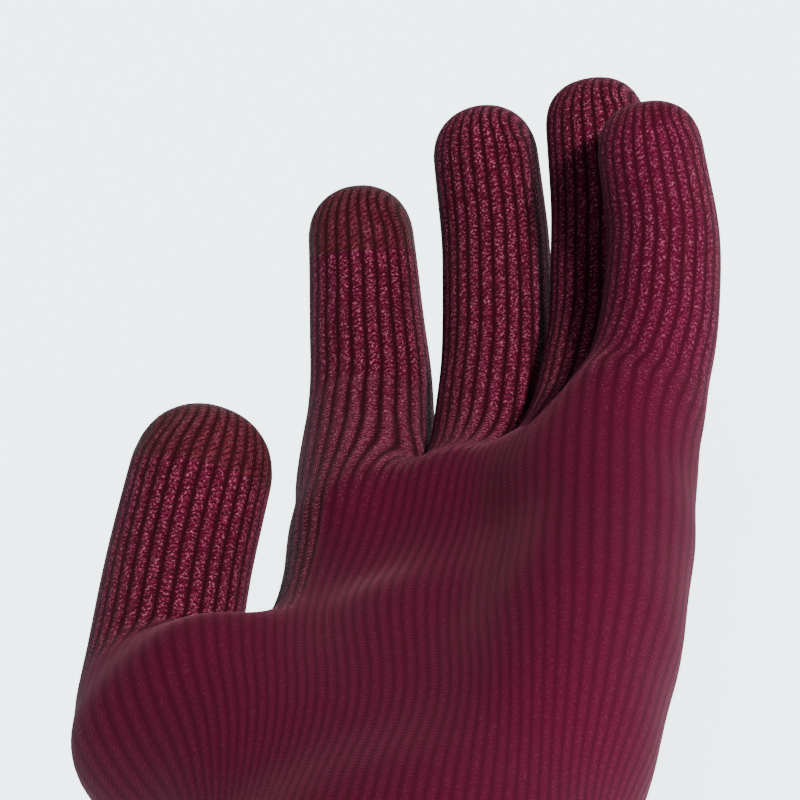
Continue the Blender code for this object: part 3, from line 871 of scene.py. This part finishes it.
def build_hem():
    """The folded, linked hem at the cuff's open end: a closed ring of ribbed fabric."""
    net = Net()
    loops = []
    for outward, y in HEM_PROFILE:
        ring = wrist_loop(HEM_HALF)
        centre = np.array([0.0, HEM_HALF, wrist_oval(HEM_HALF)[2]])
        spoke = ring - centre
        ring = ring + outward * spoke / np.linalg.norm(spoke, axis=1, keepdims=True)
        ring[:, 1] = y
        ring[:, 2] = np.maximum(ring[:, 2], 0.3)
        loops.append([net.add(p, True) for p in ring])
    for k, lower in enumerate(loops):
        upper = loops[(k + 1) % len(loops)]
        net.strip(upper, lower, 0, 1.5 * k + 1.5, 1.5 * k, ("hem", k))
    points, quads, uv, origin = smooth_surface(net)
    points, quads, uv, _ = refine(points, quads, uv, origin, ((origin >= 0, 2, 1),))
    normals = vertex_normals(points, quads)
    lift = average_to_vertices(len(points), quads, rib_height(uv[..., 0], 0.8 * RIB_DEPTH))
    points = points + normals * lift[:, None]
    points[:, 2] = np.maximum(points[:, 2], LOWEST_FACE)
    return mesh_object("cuff_hem_knit", points, quads, uv, vertex_normals(points, quads))


def tube_mesh(name, path, radii, sides=10):
    """A closed tube through points, with a radius and a knit coordinate for each."""
    points, quads, uv = [], [], []
    count = len(path)
    for k in range(count):
        ahead = unit(path[min(k + 1, count - 1)] - path[max(k - 1, 0)])
        side = unit(np.cross(ahead, (0.31, 0.17, 0.93)))
        other = np.cross(ahead, side)
        for j in range(sides):
            turn = 2.0 * math.pi * j / sides
            points.append(path[k] + radii[k] * (math.cos(turn) * side + math.sin(turn) * other))
    for k in range(count - 1):
        for j in range(sides):
            m = (j + 1) % sides
            quads.append((k * sides + j, k * sides + m, (k + 1) * sides + m, (k + 1) * sides + j))
            uv.append(((j / 3.0, k / 3.0), ((j + 1) / 3.0, k / 3.0),
                       ((j + 1) / 3.0, (k + 1) / 3.0), (j / 3.0, (k + 1) / 3.0)))
    points = np.array(points)
    quads = np.array(quads)
    if vertex_turn(points, quads) < 0.0:
        quads = quads[:, ::-1]
    return mesh_object(name, points, quads, np.array(uv), vertex_normals(points, quads))


def vertex_turn(points, quads):
    """Positive when the quads of a closed tube face out."""
    middle = points[quads].mean(axis=1)
    normal = np.cross(points[quads[:, 2]] - points[quads[:, 0]],
                      points[quads[:, 3]] - points[quads[:, 1]])
    return (middle * normal).sum() - points.mean(axis=0).dot(normal.sum(axis=0))


SEAM_STEPS, SEAM_RADIUS, SEAM_LOOP = 150, 0.62, 1.25


def build_seam(finger):
    """The linked seam that closes a fingertip: a row of leaning loops across its end."""
    bones = FINGERS[finger]
    centre, tangent, sideways, _ = bones.at(bones.length)
    radius = bones.radius_at(bones.length)
    power = TIP_SQUARENESS[finger]
    path, radii = [], []
    travelled = 0.0
    before = None
    for k in range(SEAM_STEPS + 1):
        turn = math.pi * k / SEAM_STEPS
        share = math.cos(turn) * 0.985
        rise = (1.0 - abs(share) ** power) ** (1.0 / power)
        point = centre + radius * (share * sideways + rise * tangent)
        travelled += 0.0 if before is None else np.linalg.norm(point - before)
        before = point
        phase = 2.0 * math.pi * travelled / SEAM_LOOP
        path.append(point + 0.12 * unit(point - centre)
                    + 0.34 * math.sin(phase) * np.cross(tangent, sideways))
        end = min(1.0, 8.0 * math.sin(turn) + 0.15)
        radii.append(SEAM_RADIUS * end * (0.82 + 0.18 * math.cos(phase)))
    return tube_mesh(f"{finger}_seam_yarn", path, radii)


ELASTIC_LOOP = 2.2


def build_elastic():
    """The covered elastic yarn laid round inside the cuff, wavy where each wale holds it."""
    low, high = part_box("cuff_elastic_yarn")
    start, end = low[1] / MM + 0.45, high[1] / MM - 0.45
    turns, steps = 4, 360
    path, radii = [], []
    for k in range(turns * steps + 1):
        y = start + (end - start) * k / (turns * steps)
        turn = 2.0 * math.pi * k / steps
        half_width, half_height, height = wrist_oval(y)
        wave = 0.12 * math.cos(turn * LOW_WALES)
        inset = FABRIC + 0.62 + wave
        path.append(np.array([(half_width - inset) * math.cos(turn), y,
                              max(height + (half_height - inset) * math.sin(turn), 2.3)]))
        radii.append(0.42 + 0.05 * math.cos(k * ELASTIC_LOOP))
    return tube_mesh("elastic_yarn", path, radii, sides=8)


def build_label():
    """A blank woven label, sewn at its near edge and lifting a little at its free one."""
    low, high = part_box("care_label")
    low, high = np.array(low) / MM, np.array(high) / MM
    across, along, thick = 24, 32, high[2] - low[2]
    sheet = Net()
    layers = []
    for layer in (1.0, 0.0):
        rows = []
        for j in range(along + 1):
            row = []
            for i in range(across + 1):
                a, b = i / across, j / along
                curl = 0.9 * (a - 0.5) ** 2 - 1.6 * b ** 2
                border = 0.16 if min(i, across - i, j, along - j) == 1 else 0.0
                edge = 0.42 if min(i, across - i, j, along - j) > 0 else 0.12
                z = high[2] - thick / 2.0 + (layer - 0.5) * 2.0 * edge * thick + curl
                z += border * (layer - 0.5)
                row.append(sheet.add((low[0] + a * (high[0] - low[0]),
                                      low[1] + b * (high[1] - low[1]), z)))
            rows.append(row)
        layers.append(rows)
    for layer, rows in enumerate(layers):
        for j in range(along):
            if layer == 0:
                sheet.strip(rows[j], rows[j + 1], 0, j, j + 1, ("label", j), closed=False)
            else:
                sheet.strip(rows[j + 1], rows[j], 0, j + 1, j, ("label", j), closed=False)
    top, bottom = layers
    rim = ([(0, i) for i in range(across)] + [(j, across) for j in range(along)]
           + [(along, i) for i in range(across, 0, -1)] + [(j, 0) for j in range(along, 0, -1)])
    sheet.strip([bottom[j][i] for j, i in rim], [top[j][i] for j, i in rim], 0, 0, 1, ("rim", 0))
    points, quads = np.array(sheet.points), np.array(sheet.faces)
    return mesh_object("woven_label", points, quads, np.array(sheet.coords, float),
                       vertex_normals(points, quads))


def build_label_stitch():
    """A zigzag of sewing thread that holds the label's near edge."""
    low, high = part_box("care_label_stitch")
    low, high = np.array(low) / MM, np.array(high) / MM
    middle = (low + high) / 2.0
    steps, zigzags = 120, 9
    path, radii = [], []
    for k in range(steps + 1):
        share = k / steps
        phase = 2.0 * math.pi * zigzags * share
        curl = 0.9 * (share - 0.5) ** 2
        path.append(np.array([low[0] + share * (high[0] - low[0]),
                              middle[1] + 0.75 * math.sin(phase),
                              low[2] - 0.15 + curl + 0.16 * math.cos(2.0 * phase)]))
        radii.append(0.20)
    return tube_mesh("label_stitch", path, radii, sides=8)


# ---- which body each piece follows -----------------------------------------------------------

def follow(name, nodes, body=None):
    obj = PIECES[name]
    if body:
        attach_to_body(obj, body)
    else:
        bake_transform(obj)
    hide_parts(*nodes)


# A point becomes one whole number, of microns in three places, so that equal points are found.
KEY_SHIFT, KEY_BASE = 500.0, 2000000


def shared_edge(one, other):
    """Points, in millimetres, that two pieces of the knitted surface have in common."""
    keys, places = [], []
    for name in (one, other):
        place = read(PIECES[name].data.vertices, "co", 3) / MM
        step = np.round((place + KEY_SHIFT) * 1000.0).astype(np.int64)
        keys.append((step[:, 0] * KEY_BASE + step[:, 1]) * KEY_BASE + step[:, 2])
        places.append(place)
    _, index, _ = np.intersect1d(keys[0], keys[1], return_indices=True)
    return places[0][index]


def bend_between(near, far, along):
    """Start and end of a bend that leaves a piece's near edge still and carries its far edge
    whole. The bend's direction is the one, close to along, with the most room for it."""
    side = unit(np.cross(along, (0.3, 0.2, 0.93)))
    up = np.cross(side, along)
    room, ways = [], []
    for tilt in np.radians(np.arange(0.0, 56.0, 5.0)):
        for turn in np.radians(np.arange(0.0, 360.0, 15.0)):
            sideways = side * math.cos(turn) + up * math.sin(turn)
            ways.append(along * math.cos(tilt) + sideways * math.sin(tilt))
            room.append((far @ ways[-1]).min() - (near @ ways[-1]).max())
    way = ways[int(np.argmax(room))]
    middle = (near.mean(axis=0) + far.mean(axis=0)) / 2.0
    base = middle - way * (middle @ way)
    return base + way * (near @ way).max(), base + way * (far @ way).min()


follow("cuff_knit", ["cuff_rib"], body="cuff")
follow("wrist_knit", ["cuff_rib", "hand_shell"])
follow("hand_knit", ["hand_shell"], body="hand")
for finger, bones in FINGERS.items():
    cuts = INFO[finger][1]
    segments = ("base", "tip") if finger == "thumb" else ("base", "middle", "tip")
    names = FINGER_PIECES[len(cuts)]
    previous, neighbour = "hand", "hand_knit"
    for k, (segment, kind) in enumerate(zip(segments, names)):
        centre = bones.centres[k]
        before = KNUCKLE_PAST_WEB - 1.2 if k == 0 else min(
            BEND_REACH, 0.45 * np.linalg.norm(centre - bones.centres[k - 1]))
        after = BEND_REACH
        if k + 1 < len(bones.centres):
            after = min(BEND_REACH, 0.45 * np.linalg.norm(bones.centres[k + 1] - centre))
        body = f"{finger}_{segment}_tube"
        start = centre - before * bones.directions[k]
        end = centre + after * bones.directions[k + 1]
        piece = f"{finger}_{kind}_knit"
        near = shared_edge(neighbour, piece)
        if k + 1 < len(segments):
            far = shared_edge(piece, f"{finger}_{names[k + 1]}_knit")
            start, end = bend_between(near, far, unit(end - start))
        else:
            along = unit(end - start)
            late = max(0.0, ((near - start) @ along).max())
            start, end = start + late * along, end + 0.5 * late * along
        follow(piece, [f"{finger}_{segment}"])
        previous, neighbour = body, piece
    if finger in ("index", "thumb"):
        follow(f"{finger}_touch_cap_knit", [f"{finger}_touch_cap"],
               body=previous)


def attach(obj, nodes, body):
    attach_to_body(obj, body)
    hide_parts(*nodes)
    return obj


HEM = attach(build_hem(), ["cuff_hem"], "cuff")
ELASTIC = attach(build_elastic(), ["cuff_elastic_yarn"], "cuff")
LABEL = attach(build_label(), ["care_label"], "cuff")
LABEL_STITCH = attach(build_label_stitch(), ["care_label_stitch"], "cuff")
SEAMS = [attach(build_seam(finger), [f"{finger}_tip_seam"], f"{finger}_tip_tube")
         for finger in FINGERS]


# ---- materials -------------------------------------------------------------------------------

class Graph:
    """Short calls for a material's nodes."""

    def __init__(self, name):
        self.material = bpy.data.materials.new(name)
        self.material.use_nodes = True
        self.tree = self.material.node_tree
        self.shader = self.tree.nodes["Principled BSDF"]

    def put(self, socket, value):
        if isinstance(value, bpy.types.NodeSocket):
            self.tree.links.new(value, socket)
        else:
            socket.default_value = value

    def node(self, kind, inputs=(), **settings):
        node = self.tree.nodes.new(kind)
        for key, value in settings.items():
            setattr(node, key, value)
        for key, value in dict(inputs).items():
            self.put(node.inputs[key], value)
        return node

    def math(self, operation, a, b=0.0, c=0.0):
        return self.node("ShaderNodeMath", {0: a, 1: b, 2: c}, operation=operation).outputs[0]

    def mix(self, factor, a, b):
        node = self.node("ShaderNodeMix", data_type="RGBA")
        self.put(node.inputs[0], factor)
        self.put(node.inputs[6], a)
        self.put(node.inputs[7], b)
        return node.outputs[2]

    def mix_value(self, factor, a, b):
        return self.math("ADD", self.math("MULTIPLY", a, 1.0 - factor),
                         self.math("MULTIPLY", b, factor))

    def remap(self, value, low, high, to_low=0.0, to_high=1.0):
        node = self.node("ShaderNodeMapRange", {0: value, 1: low, 2: high, 3: to_low, 4: to_high})
        return node.outputs[0]

    def noise(self, vector, scale, detail=2.0, roughness=0.5):
        node = self.node("ShaderNodeTexNoise", {"Vector": vector, "Scale": scale,
                                                "Detail": detail, "Roughness": roughness})
        return node.outputs["Fac"]

    def zigzag(self, value):
        """1 at whole numbers and 0 halfway between them."""
        share = self.math("MULTIPLY", self.math("FRACT", value), 2.0)
        return self.math("ABSOLUTE", self.math("SUBTRACT", share, 1.0))

    def knit_place(self):
        """Place across the wales and place along them."""
        uv = self.node("ShaderNodeUVMap", uv_map="knit").outputs[0]
        split = self.node("ShaderNodeSeparateXYZ", {0: uv})
        return split.outputs[0], split.outputs[1]

    def finish(self, base, roughness, height, strength, depth):
        """Sets the colour, the roughness and a bump of the given depth in millimetres."""
        bump = self.node("ShaderNodeBump",
                         {"Height": height, "Strength": strength, "Distance": depth * MM})
        self.put(self.shader.inputs["Base Color"], base)
        self.put(self.shader.inputs["Roughness"], roughness)
        self.put(self.shader.inputs["Normal"], bump.outputs[0])
        return self.material


def colour(red, green, blue):
    return (red, green, blue, 1.0)


def knit_material(name, dark, middle, light, painted_glint, roughness, sheen, sheen_tint,
                  calm_colours, twill=False):
    """Yarn knitted in wales: slanted stitches with painted shade in their gaps and valleys, fine
    fibres and painted glints.
    """
    g = Graph(name)
    u, v = g.knit_place()
    place = g.node("ShaderNodeTexCoord").outputs["Object"]

    across = g.zigzag(u)
    wobble = g.math("MULTIPLY", g.math("SUBTRACT", g.noise(place, 420.0), 0.5), 0.9)
    slant = g.math("MULTIPLY", g.math("FRACT", u), 1.5)
    lean = slant if twill else g.mix_value(0.5, g.math("MULTIPLY", across, 1.2), slant)
    phase = g.math("ADD", g.math("ADD", g.math("MULTIPLY", v, STITCHES_PER_COURSE), lean), wobble)
    # 0 in the gap between stitches
    plump = g.math("SUBTRACT", 1.0, g.math("POWER", g.zigzag(phase), 2.0))
    crest = g.math("SUBTRACT", 1.0, g.math("POWER", across, 1.6))
    half_wale = g.math("FLOOR", g.math("MULTIPLY", u, 2.0))
    own = g.node("ShaderNodeCombineXYZ",
                 {0: half_wale, 1: g.math("FLOOR", phase), 2: 0.0}).outputs[0]
    chance = g.node("ShaderNodeTexWhiteNoise", {"Vector": own}, noise_dimensions="3D").outputs[0]

    fibre_uv = g.node("ShaderNodeCombineXYZ", {
        0: g.math("MULTIPLY", u, 8.0), 1: g.math("MULTIPLY", phase, 1.6), 2: 0.0}).outputs[0]
    fibre = g.noise(fibre_uv, 1.6, 3.0, 0.65)
    fine = g.noise(place, 2500.0, 1.0, 0.5)
    cloud = g.noise(place, 45.0, 3.0, 0.6)

    # painted shade: dark in the rib valleys and in the gaps between stitches, light on the wale
    # crests; the fibre and per-stitch noise add the yarn's own random tone
    shade = g.math("MULTIPLY", g.remap(crest, 0.0, 0.9, 0.10, 1.0),
                   g.remap(plump, 0.0, 0.9, 0.4, 1.0))
    shade = g.math("MULTIPLY", shade, g.remap(fibre, 0.3, 0.7, 0.65, 1.2))
    shade = g.math("MULTIPLY", shade, g.remap(chance, 0.0, 1.0, 0.72, 1.12))
    base = g.mix(g.remap(shade, 0.05, 0.62), dark, middle)
    base = g.mix(g.remap(shade, 0.55, 1.05), base, light)
    base = g.mix(g.remap(cloud, 0.35, 0.65, 0.0, 0.15), base, dark)
    # painted glints: fine bright specks on the wale crests, painted into the colour as the yarn's
    # highlights
    painted_glint_mask = g.math("MULTIPLY", g.remap(fine, 0.56, 0.66), g.remap(crest, 0.30, 0.75))
    base = g.mix(g.math("MULTIPLY", painted_glint_mask, painted_glint[3]), base, colour(*painted_glint[:3]))
    calm = g.node("ShaderNodeAttribute", attribute_name="calm").outputs["Fac"]
    # on the felt the wale crests are a little lighter too, as painted shade, mixed with random
    # fibre tone
    felt = g.mix(g.remap(g.math("ADD", fibre, g.math("MULTIPLY", crest, 0.5)), 0.35, 1.15),
                 calm_colours[0], calm_colours[1])
    base = g.mix(g.math("MULTIPLY", calm, 0.88), base, felt)
    g.put(g.shader.inputs["Specular IOR Level"], 0.04)
    g.put(g.shader.inputs["Sheen Weight"], sheen)
    g.put(g.shader.inputs["Sheen Roughness"], 0.35)
    g.put(g.shader.inputs["Sheen Tint"], sheen_tint)

    height = g.math("ADD", g.math("MULTIPLY", plump, crest), g.math("MULTIPLY", fibre, 0.5))
    height = g.math("ADD", height, g.math("MULTIPLY", fine, 0.4))
    return g.finish(base, roughness, height, g.remap(calm, 0.0, 1.0, 0.8, 0.25), 0.30)


FELT = (colour(0.0200, 0.0002, 0.0040), colour(0.0330, 0.0007, 0.0078))
# dark, middle and light run from the painted shade of the valleys to the crests; the four numbers
# after them are the painted glint's colour and strength
KNIT = knit_material("burgundy_knit", colour(0.0055, 0.0001, 0.0008),
                     colour(0.0235, 0.0003, 0.0046), colour(0.0520, 0.0028, 0.0140),
                     (0.17, 0.042, 0.074, 0.62), 0.9, 0.04, colour(0.9, 0.25, 0.42), FELT)
CAP = knit_material("conductive_knit", colour(0.0060, 0.0002, 0.0008),
                    colour(0.0215, 0.0010, 0.0034), colour(0.0460, 0.0048, 0.0105),
                    (0.10, 0.030, 0.042, 0.5), 0.75, 0.03, colour(0.8, 0.4, 0.45), FELT,
                    twill=True)


def yarn_material(name, dark, light, roughness):
    """Plain twisted yarn: bands that wind round it, with painted shade in the grooves between them,
    and fine fibres.
    """
    g = Graph(name)
    u, v = g.knit_place()
    wind = g.math("ADD", g.math("MULTIPLY", u, 0.6), v)
    band = g.math("SINE", g.math("MULTIPLY", wind, 6.283))
    fibre = g.noise(g.node("ShaderNodeTexCoord").outputs["Object"], 3000.0, 3.0, 0.6)
    height = g.math("ADD", band, fibre)
    # the colour follows the height: painted shade in the grooves between the bands, lighter on
    # their crowns, with random fibre tone
    return g.finish(g.mix(g.remap(height, -0.4, 1.7), dark, light), roughness, height, 0.5, 0.15)


def woven_material(name, dark, light):
    """Fine plain weave: threads over and under each other in both directions, with painted shade
    where the weave is low.
    """
    g = Graph(name)
    u, v = g.knit_place()
    warp = g.math("SINE", g.math("MULTIPLY", u, 9.4248))
    weft = g.math("SINE", g.math("MULTIPLY", v, 9.4248))
    weave = g.math("MULTIPLY", warp, weft)
    fibre = g.noise(g.node("ShaderNodeTexCoord").outputs["Object"], 2500.0, 3.0, 0.6)
    height = g.math("ADD", weave, fibre)
    g.put(g.shader.inputs["Sheen Weight"], 0.15)
    # the colour follows the weave's height: darker where it is low, as painted shade, with random
    # fibre tone
    return g.finish(g.mix(g.remap(height, -0.6, 1.6), dark, light), 0.6, height, 0.4, 0.12)


SEAM_YARN = yarn_material("seam_yarn", colour(0.0060, 0.0002, 0.0012),
                          colour(0.0300, 0.0010, 0.0065), 0.9)
ELASTIC_YARN = yarn_material("elastic_yarn", colour(0.0080, 0.0010, 0.0022),
                             colour(0.0300, 0.0050, 0.0090), 0.6)
THREAD = yarn_material("label_thread", colour(0.30, 0.29, 0.27), colour(0.72, 0.70, 0.66), 0.6)
LABEL_WEAVE = woven_material("label_weave", colour(0.52, 0.50, 0.46), colour(0.80, 0.79, 0.75))
HEM.data.materials.append(KNIT)
ELASTIC.data.materials.append(ELASTIC_YARN)
LABEL.data.materials.append(LABEL_WEAVE)
LABEL_STITCH.data.materials.append(THREAD)
for seam in SEAMS:
    seam.data.materials.append(SEAM_YARN)
for name, obj in PIECES.items():
    if "touch_cap" in name:
        obj.data.materials.append(CAP)
    else:
        obj.data.materials.append(KNIT)


# ---- the room --------------------------------------------------------------------------------

FLOOR_COLOUR = colour(0.86, 0.90, 0.91)
FLOOR_GLOW = colour(0.885, 1.035, 1.06)


def build_floor():
    size, drop = 6.0, 0.0006
    mesh = bpy.data.meshes.new("floor")
    mesh.from_pydata([(-size, -size, -drop), (size, -size, -drop), (size, size, -drop),
                      (-size, size, -drop)], [], [(0, 1, 2, 3)])
    floor = bpy.data.objects.new("floor", mesh)
    bpy.context.scene.collection.objects.link(floor)
    g = Graph("floor_paint")
    g.put(g.shader.inputs["Base Color"], FLOOR_COLOUR)
    g.put(g.shader.inputs["Roughness"], 0.9)
    g.put(g.shader.inputs["Specular IOR Level"], 0.1)
    g.put(g.shader.inputs["Emission Color"], FLOOR_GLOW)
    g.put(g.shader.inputs["Emission Strength"], 3.7)
    mesh.materials.append(g.material)


def aim(obj, place, target, up=(0.0, 0.0, 1.0)):
    """Places an object so that its -Z points at the target and its Y leans to up."""
    place, target = Vector(place), Vector(target)
    back = (place - target).normalized()
    right = Vector(up).cross(back).normalized()
    turned = Matrix((right, back.cross(right), back)).transposed().to_4x4()
    obj.matrix_world = Matrix.Translation(place) @ turned


def add_area_light(name, place, target, size, power, tint=(1.0, 1.0, 1.0)):
    light = bpy.data.lights.new(name, "AREA")
    light.shape = "SQUARE"
    light.size = size
    light.energy = power
    light.color = tint
    obj = bpy.data.objects.new(name, light)
    bpy.context.scene.collection.objects.link(obj)
    aim(obj, place, target)
    return obj


def build_room():
    build_floor()
    centre = (0.0, 0.15, 0.03)
    key = add_area_light("key", (0.95, -0.85, 0.83), centre, 0.16, 105.0, (1.0, 0.985, 0.97))
    lit = bpy.data.collections.new("lit_by_key")
    for piece in bpy.context.scene.objects:
        if piece.type == "MESH" and piece.name != "floor":
            lit.objects.link(piece)
    key.light_linking.receiver_collection = lit
    world = bpy.data.worlds.new("room")
    bpy.context.scene.world = world
    world.use_nodes = True
    background = world.node_tree.nodes["Background"]
    background.inputs["Color"].default_value = colour(0.90, 0.95, 0.96)
    background.inputs["Strength"].default_value = 1.0


CAMERA_PLACE = (0.1707, -0.3703, 0.3227)
CAMERA_LOOK = (-0.2848, 0.8443, -0.4540)
CAMERA_UP = (0.2835, 0.5266, 0.8014)
CAMERA_LENS = 153.2


def build_camera():
    data = bpy.data.cameras.new("camera")
    data.lens = CAMERA_LENS
    data.sensor_width = 36.0
    data.clip_start = 0.01
    camera = bpy.data.objects.new("camera", data)
    bpy.context.scene.collection.objects.link(camera)
    place = Vector(CAMERA_PLACE)
    aim(camera, place, place + Vector(CAMERA_LOOK), CAMERA_UP)
    bpy.context.scene.camera = camera


build_room()
build_camera()
